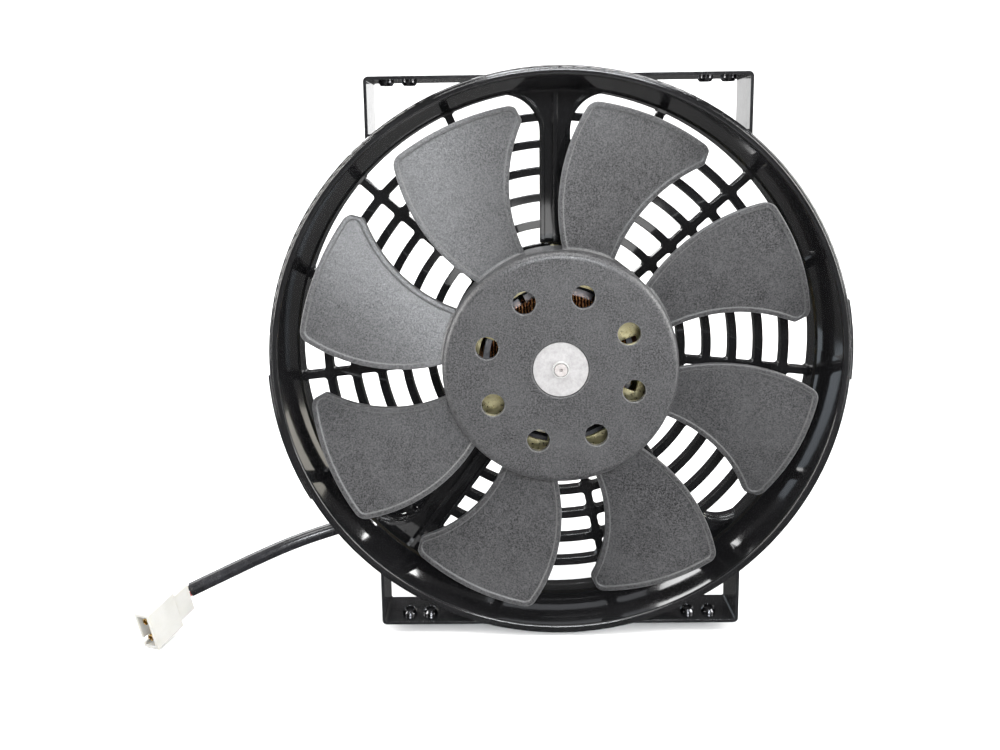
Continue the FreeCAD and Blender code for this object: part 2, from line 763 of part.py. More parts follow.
def make_brush_card():
    """Insulating card with two brush boxes."""
    card_front = dim.cap_front + 1.5
    bodies = [tube("card_plate", dim.can_radius - dim.can_wall - 0.5, 11, dim.cap_front, card_front)]
    holes = []
    for turn in (0.0, 180.0):
        half_box = dim.brush_width.value / 2
        corner = (11.0, -half_box - 1.5, 8.5)
        bodies.append(box(f"brush_box_{turn:.0f}", 15, dim.brush_width + 3, 9.6, corner, turn))
        hollow = (10.0, -half_box, 12.5)
        holes.append(box(f"brush_bore_{turn:.0f}", 15, dim.brush_width, 5, hollow, turn))
    return cut("brush_card", fuse("card_solid", bodies), fuse("card_bores", holes))


def make_brushes():
    """Two carbon brushes that face the commutator."""
    half = dim.brush_width.value / 2
    start = dim.commutator_radius.value + 0.3
    brushes = []
    for turn in (0.0, 180.0):
        name = f"brush_{turn:.0f}"
        brushes.append(box(name, 10, dim.brush_width, 5, (start, -half, 12.5), turn))
    return group("brushes", brushes)


def make_brush_springs():
    """Two coil springs between the brushes and the ends of their boxes."""
    springs = []
    start = dim.commutator_radius.value + 10.3
    for turn in (0.0, 180.0):
        helix = Part.makeHelix(1.0, 4.0, 1.7)
        profile = Part.Wire(Part.makeCircle(0.3, Vector(1.7, 0, 0), Vector(0, 1, 0)))
        coil = Part.Wire(helix).makePipeShell([profile], True, True)
        place = FreeCAD.Placement(polar(start + 0.35, turn, 15.0), FreeCAD.Rotation(Vector(0, 0, 1), turn))
        coil.Placement = place.multiply(
            FreeCAD.Placement(Vector(0, 0, 0), FreeCAD.Rotation(Vector(0, 1, 0), 90))
        )
        springs.append(feature(f"spring_{turn:.0f}", coil))
    return group("brush_springs", springs)


def make_armature_core():
    """Slotted stack of laminations pressed on the shaft."""
    stack = tube("core_stack", 36, dim.shaft_radius, 22, 31)
    slots = []
    for index in range(12):
        corner = (17.0, -1.4, 21.0)
        slots.append(box(f"core_slot_{index}", 25, 2.8, 11, corner, 30.0 * index))
    return cut("armature_core", stack, fuse("core_slots", slots))


def make_windings():
    """Coil ends before and behind the stack, joined through its slots."""
    pieces = [
        tube("winding_back", 33, 13, 18.8, 22),
        tube("winding_front", 33, 13, 31, 34.2),
    ]
    for index in range(12):
        pieces.append(box(f"slot_copper_{index}", 13, 2.8, 11, (17.5, -1.4, 21.0), 30.0 * index))
    return fuse("armature_windings", pieces)


def make_shaft():
    """Motor shaft with a thinner nose for the impeller and a centre drilled in its end."""
    solid = fuse(
        "shaft_solid",
        [
            cylinder("shaft_body", dim.shaft_radius, dim.bearing_back + 0.3, dim.insert_back),
            cylinder("shaft_nose", dim.nose_radius, dim.insert_back - 1, dim.shaft_end),
        ],
    )
    return cut("motor_shaft", solid, cylinder("shaft_centre", 0.9, dim.shaft_end - 1, dim.shaft_end + 1))


def make_hub_insert():
    """Metal insert that carries the hub on the shaft."""
    face_back = dim.hub_front - dim.hub_face
    bodies = [
        cylinder("insert_boss", 8, dim.insert_back, face_back),
        cylinder("insert_flange", 17, face_back - 1.5, face_back),
        cylinder("insert_disc", dim.insert_disc_radius, face_back - 1, dim.hub_front - 0.4),
    ]
    bore = cylinder("insert_hole", dim.nose_radius, dim.insert_back - 1, dim.hub_front + 1)
    return cut("hub_insert", fuse("insert_solid", bodies), bore)


def make_retainer():
    """Ring pressed on the shaft's nose, with a groove next to the shaft."""
    back = dim.hub_front - 0.4
    ring = tube("retainer_ring", 3.9, dim.nose_radius, back, back + 1)
    return cut("shaft_retainer", ring, cylinder("retainer_groove", 3.35, back + 0.4, back + 2))


def make_motor_screws():
    """Three hexagon screws that hold the motor to the guard's plate."""
    screws = []
    for angle in MOTOR_SCREW_ANGLES:
        place = across(dim.ear_circle, angle)
        name = f"motor_screw_{angle:.0f}"
        head = hexagon(f"{name}_head", 4, dim.cap_front, dim.cap_front + 3.5, place)
        shank = cylinder(f"{name}_shank", 2.4, dim.guard_back - 4, dim.cap_front + 1, place)
        screws.append(fuse(name, [head, shank]))
    return group("motor_screws", screws)


def make_motor_nuts():
    """Three nuts behind the guard's plate."""
    nuts = []
    for angle in MOTOR_SCREW_ANGLES:
        place = across(dim.ear_circle, angle)
        name = f"motor_nut_{angle:.0f}"
        block = hexagon(f"{name}_block", 4.6, dim.guard_back - 4, dim.guard_back, place)
        hole = cylinder(f"{name}_hole", 2.4, dim.guard_back - 5, dim.guard_back + 1, place)
        nuts.append(cut(name, block, hole))
    return group("motor_nuts", nuts)


def make_lead(name, offset):
    """One lead from the cable boot through the guard's plate into the motor."""
    x, y = across(dim.lead_circle, CABLE_STRUT_ANGLE)
    shift = turned(Vector(0, offset, 0), CABLE_STRUT_ANGLE)
    place = (x + shift.x, y + shift.y)
    core = cylinder(f"{name}_core", dim.core_radius, dim.guard_back, dim.cap_front, place)
    return group(name, [core])


def make_cable_boot():
    """Rubber boot behind the guard's plate, where the cable's sheath ends."""
    corner = (26.0, -6.0, -8.0)
    return box("boot_block", 15.66, 12, dim.guard_back + 8, corner, CABLE_STRUT_ANGLE)


keep(make_rear_cap(), "motor_rear_cap")
keep(
    tube(
        "rear_bearing",
        dim.rear_bearing_radius,
        dim.shaft_radius + dim.running_gap,
        dim.bearing_back,
        dim.bearing_back + 5.7,
    ),
    "rear_bearing",
)
keep(make_can(), "motor_can")
keep(
    tube(
        "front_bearing",
        dim.front_bearing_radius,
        dim.shaft_radius + dim.running_gap,
        dim.can_front - 4,
        dim.can_front + 2,
    ),
    "front_bearing",
)
keep(make_magnets(), "field_magnets")
keep(make_brush_card(), "brush_card")
keep(make_brushes(), "brushes")
keep(make_brush_springs(), "brush_springs")
keep(tube("commutator", dim.commutator_radius, dim.shaft_radius, 12, 18), "commutator")
keep(tube("thrust_washer", 6.5, dim.shaft_radius, 11.5, 12), "thrust_washer")
keep(make_armature_core(), "armature_core")
keep(make_windings(), "armature_windings")
keep(make_shaft(), "motor_shaft")
keep(make_hub_insert(), "hub_insert")
keep(make_retainer(), "shaft_retainer")
keep(make_motor_screws(), "motor_screws")
keep(make_motor_nuts(), "motor_nuts")
keep(make_lead("lead_red", 1.6), "lead_red")
keep(make_lead("lead_black", -1.6), "lead_black")
keep(make_cable_boot(), "cable_boot")


# ---------------------------------------------------------------------------------------------
# Impeller
# ---------------------------------------------------------------------------------------------

BLADE_STATIONS = (48.0, 66.0, 86.0, 106.0, 126.0)
ROOT_PITCH = 18.0
MIDDLE_PITCH = 13.5
TIP_PITCH = 10.0
BLADE_CAMBER = 1.5
BLADE_CORNER = 6.0


def blade_pitch(radius):
    """Pitch of the blade's chord, falling from the root to the tip."""
    if radius < 90.0:
        return ROOT_PITCH + (MIDDLE_PITCH - ROOT_PITCH) * (radius - 54.0) / 36.0
    return MIDDLE_PITCH + (TIP_PITCH - MIDDLE_PITCH) * (radius - 90.0) / 32.0


def blade_section(radius, below, above):
    """Closed section of the blade's strip across the radius, from below to above its middle."""
    slope = math.tan(math.radians(blade_pitch(radius)))
    middle = radius * math.tan(math.radians(6.0))

    def surface(offset):
        points = []
        for reach in (-40.0, -20.0, 0.0, 20.0, 40.0):
            height = dim.blade_middle.value + slope * reach + BLADE_CAMBER * (1 - (reach / 28.0) ** 2)
            points.append(Vector(radius, middle + reach, height + offset))
        curve = Part.BSplineCurve()
        curve.interpolate(points)
        return points, curve.toShape()

    low_points, low = surface(below)
    high_points, high = surface(above)
    return Part.Wire(
        [
            low,
            Part.makeLine(low_points[-1], high_points[-1]),
            high,
            Part.makeLine(high_points[0], low_points[0]),
        ]
    )


def blade_prism(inset):
    """Prism over one blade's outline, moved inward by an inset, with its tip corners rounded."""
    tip = dim.tip_radius.value
    root = dim.hub_radius.value - 1.6
    centre = Vector(0, 0, 0)
    leading = [polar(root, 20.5), polar(88.0, 22.0), polar(tip, 15.6)]
    trailing = [polar(tip, -17.0), polar(90.0, -8.0), polar(root, -6.0)]
    outline = Part.Wire(
        [
            Part.Arc(*leading).toShape(),
            arc_between(centre, leading[2], trailing[0]).toShape(),
            Part.Arc(*trailing).toShape(),
            arc_between(centre, trailing[2], leading[0]).toShape(),
        ]
    )
    if inset:
        outline = outline.makeOffset2D(-inset)
    prism = Part.Face(outline).extrude(Vector(0, 0, 60))
    corners = []
    for edge in prism.Edges:
        first, last = edge.Vertexes[0].Point, edge.Vertexes[-1].Point
        upright = math.hypot(first.x - last.x, first.y - last.y) < 0.01
        if upright and math.hypot(first.x, first.y) > tip - 10:
            corners.append(edge)
    return prism.makeFillet(BLADE_CORNER - inset, corners)


def make_blade():
    """One blade: a cambered strip trimmed to the outline, recessed inside its raised border."""
    half = dim.blade_thickness.value / 2
    strip = Part.makeLoft([blade_section(x, -half, half) for x in BLADE_STATIONS], True)
    blade = strip.common(blade_prism(0.0))
    floor = half - dim.blade_recess.value
    field = Part.makeLoft([blade_section(x, floor, half + 3) for x in BLADE_STATIONS], True)
    return blade.cut(field.common(blade_prism(dim.blade_border.value)))


def make_hub():
    """Cup-shaped hub with a hole for the metal insert and a ring of vent holes."""
    hub = doc.addObject("PartDesign::Body", "hub_body")
    inner = dim.hub_radius - dim.hub_wall
    face_back = dim.hub_front - dim.hub_face
    groove = dim.insert_disc_radius + dim.disc_gap
    turn = revolve(
        hub,
        "hub_turn",
        [
            (dim.insert_disc_radius, face_back),
            (inner, face_back),
            (inner, dim.hub_back),
            (dim.hub_radius, dim.hub_back),
            (dim.hub_radius, dim.hub_front),
            (groove, dim.hub_front),
            (groove, dim.hub_front - 1.2),
            (dim.insert_disc_radius, dim.hub_front - 1.2),
        ],
    )
    edge = round_circles(hub, "hub_round", turn, [(dim.hub_radius, dim.hub_front)], 3.6)
    inside = round_circles(hub, "hub_inside_round", edge, [(inner, face_back)], 1.6)
    hub.Tip = inside
    vent = new_sketch(hub, "vent_outline", "XY_Plane", dim.hub_front)
    draw_circle(vent, dim.vent_radius, across(dim.vent_circle, VENT_START_ANGLE))
    pocket = extrude(hub, "Pocket", "vent", vent, dim.hub_face + 1)
    repeat(hub, "vent_pattern", [pocket], dim.blade_count)
    return hub


def make_impeller():
    """Hub with its blades, moulded in one piece."""
    pieces = [make_hub()]
    blade = make_blade()
    count = int(dim.blade_count.value)
    for index in range(count):
        copy = blade.copy()
        copy.rotate(Vector(0, 0, 0), Vector(0, 0, 1), BLADE_START_ANGLE + 360.0 * index / count)
        pieces.append(feature(f"blade_{index + 1}", copy))
    return fuse("impeller", pieces)


keep(make_impeller(), "impeller")


# ---------------------------------------------------------------------------------------------
# Brackets and their fasteners
# ---------------------------------------------------------------------------------------------


def insert_places(middle_x):
    """X of the four clinch nuts of one bracket."""
    places = []
    for side in (1, -1):
        for shift in (-0.5, 0.5):
            places.append(middle_x * side + dim.insert_pitch * shift)
    return places


def make_bracket(name, half, middle_x):
    """Bent strip across the ring with two legs, four clinch-nut holes and two screw holes."""
    body = doc.addObject("PartDesign::Body", f"{name}_body")
    sketch = new_sketch(body, f"{name}_outline", "XY_Plane", dim.bracket_back)
    outer = dim.bracket_half_width
    inner = outer - dim.strip
    base = dim.bracket_reach - dim.strip
    corners = [
        (-outer, dim.bracket_leg_end),
        (-outer, dim.bracket_reach),
        (outer, dim.bracket_reach),
        (outer, dim.bracket_leg_end),
        (inner, dim.bracket_leg_end),
        (inner, base),
        (-inner, base),
        (-inner, dim.bracket_leg_end),
    ]
    draw_polygon(sketch, [(x, y * half) for x, y in corners])
    pad = extrude(body, "Pad", f"{name}_strip", sketch, dim.bracket_front - dim.bracket_back)
    bends = {"outer": [], "inner": []}
    for index, edge in enumerate(pad.Shape.Edges, start=1):
        first, last = edge.Vertexes[0].Point, edge.Vertexes[-1].Point
        if abs(first.z - last.z) < 1.0:
            continue
        at_outer = abs(abs(first.y) - dim.bracket_reach.value) < 0.01
        at_inner = abs(abs(first.y) - base.value) < 0.01
        if at_outer:
            bends["outer"].append(f"Edge{index}")
        if at_inner:
            bends["inner"].append(f"Edge{index}")
    rounded = round_edges(body, f"{name}_bends", pad, bends["outer"], dim.bracket_bend)
    inner_edges = []
    for index, edge in enumerate(rounded.Shape.Edges, start=1):
        first, last = edge.Vertexes[0].Point, edge.Vertexes[-1].Point
        along = abs(first.z - last.z) > 1.0
        if along and abs(abs(first.y) - base.value) < 0.01 and abs(abs(first.x) - inner.value) < 0.01:
            inner_edges.append(f"Edge{index}")
    inside = round_edges(
        body, f"{name}_inner_bends", rounded, inner_edges, dim.bracket_bend - dim.strip
    )
    body.Tip = inside

    holes = []
    low, high = (base - 1, dim.bracket_reach + 1)
    if half < 0:
        low, high = -high, -low
    for index, x in enumerate(insert_places(middle_x)):
        hole_name = f"{name}_insert_hole_{index}"
        holes.append(upright_cylinder(hole_name, dim.insert_shank, low, high, x, dim.insert_z))
    for side in (1, -1):
        start, end = (inner - 1, outer + 1) if side > 0 else (-outer - 1, -inner + 1)
        hole_name = f"{name}_screw_hole_{side}"
        place = (dim.leg_screw_y * half, dim.leg_screw_z)
        holes.append(sideways_cylinder(hole_name, dim.leg_screw_radius, start, end, *place))
    low_radius = dim.barrel_radius + LEG_CLEARANCE
    high_radius = dim.mouth_radius + dim.mouth_wall + LEG_CLEARANCE
    holes.append(cone(f"{name}_relief", low_radius, high_radius, dim.rim_height, dim.lip_back))
    return cut(name, body, fuse(f"{name}_holes", holes))


def make_bracket_screws():
    """Four screws that hold the brackets' legs to the ring's lugs."""
    screws = []
    outer = dim.bracket_half_width
    for side in (1, -1):
        for half in (1, -1):
            name = f"leg_screw_{side}_{half}"
            place = (dim.leg_screw_y * half, dim.leg_screw_z)
            grip = outer - dim.leg_screw_grip
            start, end = (grip, outer + 1) if side > 0 else (-outer - 1, -grip)
            shank = sideways_cylinder(f"{name}_shank", dim.leg_screw_radius, start, end, *place)
            start, end = (outer, outer + 2.2) if side > 0 else (-outer - 2.2, -outer)
            head = sideways_cylinder(f"{name}_head", dim.leg_screw_head, start, end, *place)
            screws.append(fuse(name, [shank, head]))
    return group("bracket_screws", screws)


def make_clinch_nuts():
    """Eight threaded inserts pressed into the brackets from inside."""
    nuts = []
    base = dim.bracket_reach - dim.strip
    for half, middle_x in ((1, dim.top_insert_x), (-1, dim.bottom_insert_x)):
        for index, x in enumerate(insert_places(middle_x)):
            name = f"clinch_nut_{half}_{index}"
            tip = base - dim.insert_height
            shoulder = tip + dim.insert_crown
            spans = {
                "collar": (dim.insert_radius, shoulder, base),
                "shank": (dim.insert_shank, base - 1, dim.bracket_reach),
                "thread": (dim.insert_bore, base - dim.insert_height - 1, dim.bracket_reach + 1),
            }
            pieces = {}
            for role, (radius, low, high) in spans.items():
                if half < 0:
                    low, high = -high, -low
                pieces[role] = upright_cylinder(f"{name}_{role}", radius, low, high, x, dim.insert_z)
            ends = [(dim.insert_tip, tip), (dim.insert_radius, shoulder)]
            if half < 0:
                ends = [(radius, -height) for radius, height in reversed(ends)]
            (low_radius, low), (high_radius, high) = ends
            place = (x, dim.insert_z)
            crown = upright_cone(f"{name}_crown", low_radius, high_radius, low, high, *place)
            solid = fuse(f"{name}_solid", [pieces["collar"], crown, pieces["shank"]])
            nuts.append(cut(name, solid, pieces["thread"]))
    return group("clinch_nuts", nuts)


keep(make_bracket("bracket_top", 1, dim.top_insert_x), "bracket_top")
keep(make_bracket("bracket_bottom", -1, dim.bottom_insert_x), "bracket_bottom")
keep(make_bracket_screws(), "bracket_screws")
keep(make_clinch_nuts(), "clinch_nuts")


# ---------------------------------------------------------------------------------------------
# Cable and connector
# ---------------------------------------------------------------------------------------------


def route_wire(points, name):
    """Straight runs joined by tangent arcs, as one wire."""
    points = [Vector(*point) for point in points]
    edges = []
    start = points[0]
    for before, corner, after in zip(points, points[1:], points[2:]):
        arriving = (corner - before).normalize()
        leaving = (after - corner).normalize()
        turn = arriving.getAngle(leaving)
        reach = 0.45 * min((corner - before).Length, (after - corner).Length)
        radius = reach / math.tan(turn / 2)
        inward = (leaving - arriving).normalize()
        middle = corner + inward * (radius / math.cos(turn / 2) - radius)
        arc_start = corner - arriving * reach
        arc_end = corner + leaving * reach
        edges.append(Part.makeLine(start, arc_start))
        edges.append(Part.Arc(arc_start, middle, arc_end).toShape())
        start = arc_end
        print(f"{name}: bend radius {radius:.1f} mm, turn {math.degrees(turn):.1f} degrees")
    edges.append(Part.makeLine(start, points[-1]))
    return Part.Wire(edges)


def make_tube(name, points):
    """The cable's sheath along a route."""
    wire = route_wire(points, name)
    spine = feature(f"{name}_route", wire)
    way = (Vector(*points[1]) - Vector(*points[0])).normalize()
    section = doc.addObject("Part::Circle", f"{name}_section")
    section.Placement = FreeCAD.Placement(Vector(*points[0]), FreeCAD.Rotation(Vector(0, 0, 1), way))
    bind(section, Radius=dim.cable_radius)
    sweep = doc.addObject("Part::Sweep", name)
    sweep.Sections = [section]
    sweep.Spine = (spine, [f"Edge{index + 1}" for index in range(len(wire.Edges))])
    sweep.Solid = True
    doc.recompute()
    expected = math.pi * dim.cable_radius.value**2 * wire.Length
    print(f"{name}: volume {sweep.Shape.Volume:.1f}, section times length {expected:.1f} mm3")
    return sweep


def make_clip():
    """Saddle that holds the cable behind the ring, with a stem pressed into the ring's lug."""
    turn = math.degrees(math.atan2(CLIP_WAY.y, CLIP_WAY.x))
    frame = FreeCAD.Placement(CLIP_MIDDLE, FreeCAD.Rotation(Vector(0, 0, 1), turn))
    half = CLIP_LENGTH / 2

    def block(name, start, end, bottom, top):
        piece = doc.addObject("Part::Box", name)
        piece.Length, piece.Width, piece.Height = CLIP_LENGTH, end - start, top - bottom
        piece.Placement = frame.multiply(
            FreeCAD.Placement(Vector(-half, start, bottom), FreeCAD.Rotation())
        )
        return piece

    saddle = block("clip_saddle", -5.3, 5.3, -5.0, 2.0)
    foot = block("clip_foot", 4.0, 9.4, 0.9, -CABLE_DEPTH)
    stem = cylinder("clip_stem", 2.0, CABLE_DEPTH, 5.5, (CLIP_STEM.x, CLIP_STEM.y))
    bore = doc.addObject("Part::Cylinder", "clip_bore")
    bind(bore, Radius=dim.cable_radius, Height=CLIP_LENGTH + 2)
    bore.Placement = FreeCAD.Placement(
        CLIP_MIDDLE - CLIP_WAY * (half + 1), FreeCAD.Rotation(Vector(0, 0, 1), CLIP_WAY)
    )
    return cut("cable_clip", fuse("clip_solid", [saddle, foot, stem]), bore)


CONNECTOR_THICK = CONNECTOR_AXIS.cross(CONNECTOR_WIDE)
CONNECTOR_FRAME = FreeCAD.Placement(
    CONNECTOR_BACK, FreeCAD.Rotation(CONNECTOR_WIDE, CONNECTOR_THICK, CONNECTOR_AXIS, "ZXY")
)


def connector_block(name, wide, thick, start, end, middle=(0, 0)):
    """A block between two distances from the connector's rear, with its middle off the axis if asked."""
    wide, thick = quantity(wide), quantity(thick)
    start, end = quantity(start), quantity(end)
    piece = doc.addObject("Part::Box", name)
    bind(piece, Length=wide, Width=thick, Height=end - start)
    corner = Vector(middle[0] - wide.value / 2, middle[1] - thick.value / 2, start.value)
    piece.Placement = CONNECTOR_FRAME.multiply(FreeCAD.Placement(corner, FreeCAD.Rotation()))
    return piece


def make_connector():
    """Two-way plug housing: a narrow rear section and a hollow mouth with a latch notch."""
    rear = dim.connector_rear_length
    mouth = rear + dim.connector_front_length
    wide, thick = dim.connector_front_wide, dim.connector_front_thick
    solid = fuse(
        "connector_solid",
        [
            connector_block("connector_rear", dim.connector_rear_wide, dim.connector_rear_thick, 0, rear),
            connector_block("connector_front", wide, thick, rear - 1, mouth),
        ],
    )
    wall = dim.connector_wall
    hollow = connector_block("connector_hollow", wide - wall * 2, thick - wall * 2, rear + wall, mouth + 1)
    side = (5.6, -thick.value / 2)
    notch = connector_block("connector_notch", 2.4, wall * 2 + 1, mouth - 3, mouth + 1, side)
    return cut("connector_housing", solid, fuse("connector_hollows", [hollow, notch]))


def make_terminals():
    """Two sleeve terminals inside the connector's mouth."""
    terminals = []
    start = dim.connector_rear_length.value + dim.connector_wall.value
    for side in (1, -1):
        name = f"terminal_{side}"
        sleeves = []
        for role, radius, bottom in (("body", 1.6, start), ("bore", 1.15, start + 1.5)):
            piece = doc.addObject("Part::Cylinder", f"{name}_{role}")
            piece.Radius, piece.Height = radius, start + 12.9 - bottom
            offset = FreeCAD.Placement(Vector(side * 4.6, 0, bottom), FreeCAD.Rotation())
            piece.Placement = CONNECTOR_FRAME.multiply(offset)
            sleeves.append(piece)
        terminals.append(cut(name, *sleeves))
    return group("connector_terminals", terminals)


def make_core(name, side, sheath):
    """One core between the sheath's end and the connector's rear."""
    sheath_end = Vector(*FREE_ROUTE[-1]) + CONNECTOR_WIDE * (1.7 * side)
    core_end = CONNECTOR_BACK + CONNECTOR_WIDE * (1.7 * side)
    way = (core_end - sheath_end).normalize()
    piece = doc.addObject("Part::Cylinder", f"{name}_whole")
    bind(piece, Radius=dim.core_radius)
    piece.Height = (core_end - sheath_end).Length + 4.0
    piece.Placement = FreeCAD.Placement(sheath_end - way * 2.0, FreeCAD.Rotation(Vector(0, 0, 1), way))
    rear = connector_block(f"{name}_stop", dim.connector_rear_wide, dim.connector_rear_thick, 0, 6)
    return cut(name, piece, fuse(f"{name}_stops", [sheath, rear]))


power_cable = make_tube("power_cable", FREE_ROUTE)
core_red = make_core("core_red", 1, power_cable)
core_black = make_core("core_black", -1, power_cable)
doc.recompute()
keep(make_tube("cable_guided_run", GUIDED_ROUTE), "cable_guided_run")
keep(make_clip(), "cable_clip")
keep(power_cable, "power_cable")
keep(core_red, "core_red")
keep(core_black, "core_black")
keep(make_connector(), "connector_housing")
keep(make_terminals(), "connector_terminals")


# ---------------------------------------------------------------------------------------------
# Check and export
# ---------------------------------------------------------------------------------------------

doc.recompute()
for item in doc.Objects:
    if "Invalid" in item.State or "Error" in item.State:
        raise ValueError(f"{item.Label} did not compute: {item.State}")

os.makedirs("parts", exist_ok=True)
for node in nodes:
    if node.Shape.isNull() or not node.Shape.isValid():
        raise ValueError(f"{node.Label} has no valid shape")
    node.Shape.exportStep(f"parts/{node.Label}.step")
    bounds = node.Shape.BoundBox
    print(
        f"{node.Label}: {len(node.Shape.Solids)} solids, {node.Shape.Volume:.0f} mm3, "
        f"{bounds.XLength:.1f} x {bounds.YLength:.1f} x {bounds.ZLength:.1f} mm"
    )
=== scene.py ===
"""Looks of the fan unit: camera, cable, materials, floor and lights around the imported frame."""
import json
import math

import bpy
from mathutils import Matrix, Vector


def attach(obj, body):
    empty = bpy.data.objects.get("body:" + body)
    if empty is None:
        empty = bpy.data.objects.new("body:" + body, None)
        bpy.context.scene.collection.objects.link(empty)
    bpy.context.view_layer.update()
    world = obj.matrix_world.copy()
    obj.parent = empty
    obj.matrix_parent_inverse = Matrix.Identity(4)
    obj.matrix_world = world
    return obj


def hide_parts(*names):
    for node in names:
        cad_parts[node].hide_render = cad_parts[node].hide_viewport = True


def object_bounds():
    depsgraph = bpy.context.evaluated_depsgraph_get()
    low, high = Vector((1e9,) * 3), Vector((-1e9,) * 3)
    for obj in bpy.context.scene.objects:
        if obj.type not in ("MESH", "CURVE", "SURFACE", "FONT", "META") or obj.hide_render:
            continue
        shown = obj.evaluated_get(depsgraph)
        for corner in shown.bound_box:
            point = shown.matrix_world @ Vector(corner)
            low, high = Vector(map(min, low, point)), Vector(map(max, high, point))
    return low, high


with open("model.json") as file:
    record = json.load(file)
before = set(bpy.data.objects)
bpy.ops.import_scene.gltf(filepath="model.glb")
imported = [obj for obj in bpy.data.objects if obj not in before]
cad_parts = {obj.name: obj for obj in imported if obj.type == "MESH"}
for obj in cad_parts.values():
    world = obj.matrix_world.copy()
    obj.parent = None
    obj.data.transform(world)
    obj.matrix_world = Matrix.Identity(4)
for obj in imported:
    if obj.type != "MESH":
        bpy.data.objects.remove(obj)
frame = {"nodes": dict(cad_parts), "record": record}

cad_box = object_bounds()
scene = bpy.context.scene
nodes = frame["nodes"]
MM = 0.001


# ---------------------------------------------------------------------------------------------
# Camera
# ---------------------------------------------------------------------------------------------

# The camera's turns are in degrees, about the axes of the fan's own frame: X right, Y up, Z forward
# along the fan's axis. Its offset is in millimetres along its own axes, from the point on the fan's
# axis that is GUARD_DEPTH in front of the origin.
CAMERA_TILT = 8.02
CAMERA_SWING = -0.68
CAMERA_ROLL = 0.78
CAMERA_OFFSET = Vector((-28.2, 42.7, 406.1))
CAMERA_LENS = 28.8
CAMERA_SENSOR = 36.0
CAMERA_SHIFT = -0.1113
GUARD_DEPTH = 5.0
FAN_TO_ROW = Matrix(((1, 0, 0), (0, 0, -1), (0, 1, 0)))


def make_camera():
    """The photo's view, with the shift that its framing needs."""
    tilt = Matrix.Rotation(math.radians(CAMERA_TILT), 3, "X")
    swing = Matrix.Rotation(math.radians(CAMERA_SWING), 3, "Y")
    roll = Matrix.Rotation(math.radians(CAMERA_ROLL), 3, "Z")
    turn = (roll @ tilt @ swing).transposed()
    place = turn @ CAMERA_OFFSET + Vector((0, 0, GUARD_DEPTH))
    data = bpy.data.cameras.new("camera")
    data.lens = CAMERA_LENS
    data.sensor_width = CAMERA_SENSOR
    data.shift_y = CAMERA_SHIFT
    data.clip_start = 0.01
    data.clip_end = 50.0
    camera = bpy.data.objects.new("camera", data)
    scene.collection.objects.link(camera)
    camera.matrix_world = Matrix.LocRotScale(
        FAN_TO_ROW @ place * MM, (FAN_TO_ROW @ turn).to_quaternion(), None
    )
    scene.camera = camera


make_camera()


# ---------------------------------------------------------------------------------------------
# Cable
# ---------------------------------------------------------------------------------------------

# Millimetres, in the fan's own frame: the same points as the part's route.
CABLE_DIAMETER = 7.0
CABLE_ROUTE = [
    (-95.6, -93.3, -3.6),
    (-113.5, -98.3, -2.6),
    (-136.5, -103.0, 4.2),
    (-155.5, -109.6, 9.0),
    (-172.6, -116.3, 13.2),
    (-188.9, -122.4, 18.2),
]


def row(point):
    """A point of the fan's own frame, in millimetres, as a point of the part's frame in metres."""
    return FAN_TO_ROW @ Vector(point) * MM


def make_cable():
    """The free sheath from the clip to the connector's cores, as one smooth spline."""
    data = bpy.data.curves.new("power_cable_sheath", "CURVE")
    data.dimensions = "3D"
    data.bevel_depth = 1.0
    data.bevel_resolution = 10
    data.resolution_u = 24
    data.use_fill_caps = True
    spline = data.splines.new("NURBS")
    spline.points.add(len(CABLE_ROUTE) - 1)
    for point, place in zip(spline.points, CABLE_ROUTE):
        point.co = (*row(place), 1.0)
        point.radius = CABLE_DIAMETER / 2 * MM
    spline.order_u = 3
    spline.use_endpoint_u = True
    cable = bpy.data.objects.new("power_cable_sheath", data)
    scene.collection.objects.link(cable)
    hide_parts("power_cable")
    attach(cable, "housing")
    return cable


cable = make_cable()


# ---------------------------------------------------------------------------------------------
# Materials
# ---------------------------------------------------------------------------------------------


# Sockets of the colour Mix node, which repeats their names for each type of data.
MIX_FACTOR, MIX_FIRST, MIX_SECOND, MIX_RESULT = 0, 6, 7, 2
BEVEL_SAMPLES = 6


